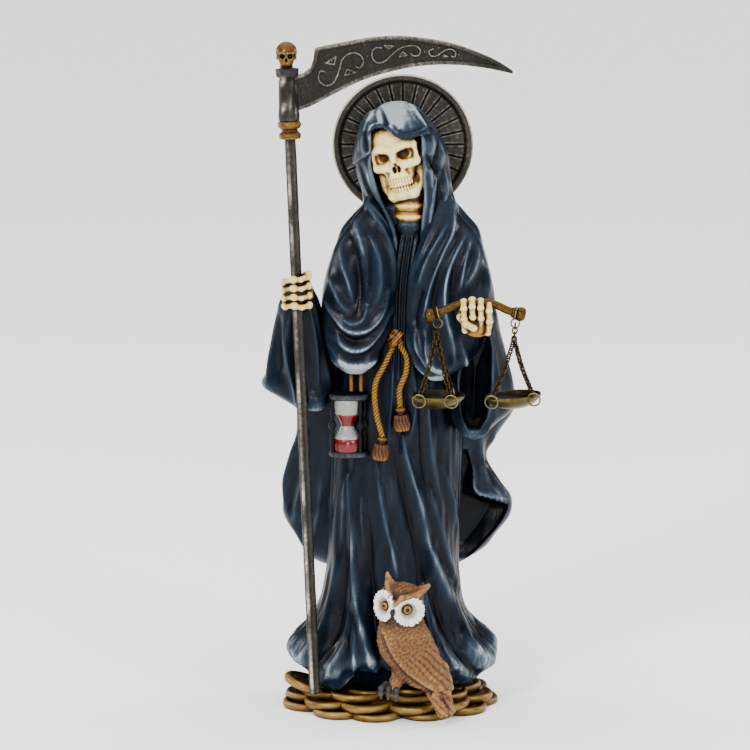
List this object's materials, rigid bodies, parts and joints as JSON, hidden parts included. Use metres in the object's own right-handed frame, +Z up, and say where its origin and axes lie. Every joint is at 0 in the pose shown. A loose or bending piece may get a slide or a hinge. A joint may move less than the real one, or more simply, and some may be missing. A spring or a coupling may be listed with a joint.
{
  "type": "santa muerte figure",
  "caption": "Standing hooded skeleton figurine in a long robe on a heap of coins, holding a scythe and hanging scales, with an hourglass, a halo disc and an owl.",
  "frame": {"origin": "middle of the flat underside of the coins", "axes": "+Z up, -Y the way the skull faces, +X towards the scales, which the figure's left hand holds"},
  "size_m": [0.1229, 0.0951, 0.3009],
  "materials": {
    "coins": "satin",
    "robe": "satin",
    "bone": "matt",
    "pewter": "satin",
    "feathers": "matt",
    "bronze": "satin",
    "chain": "bright",
    "pan": "worn"
  },
  "bodies": {
    "root": {"coin_base": "coins", "robed_figure": "robe", "skull": "bone", "halo": "pewter", "owl": "feathers", "scythe": "pewter", "scale_beam": "bronze", "chains_left": "chain", "chains_right": "chain", "pan_left": "pan", "pan_right": "pan"}
  },
  "joints": []
}
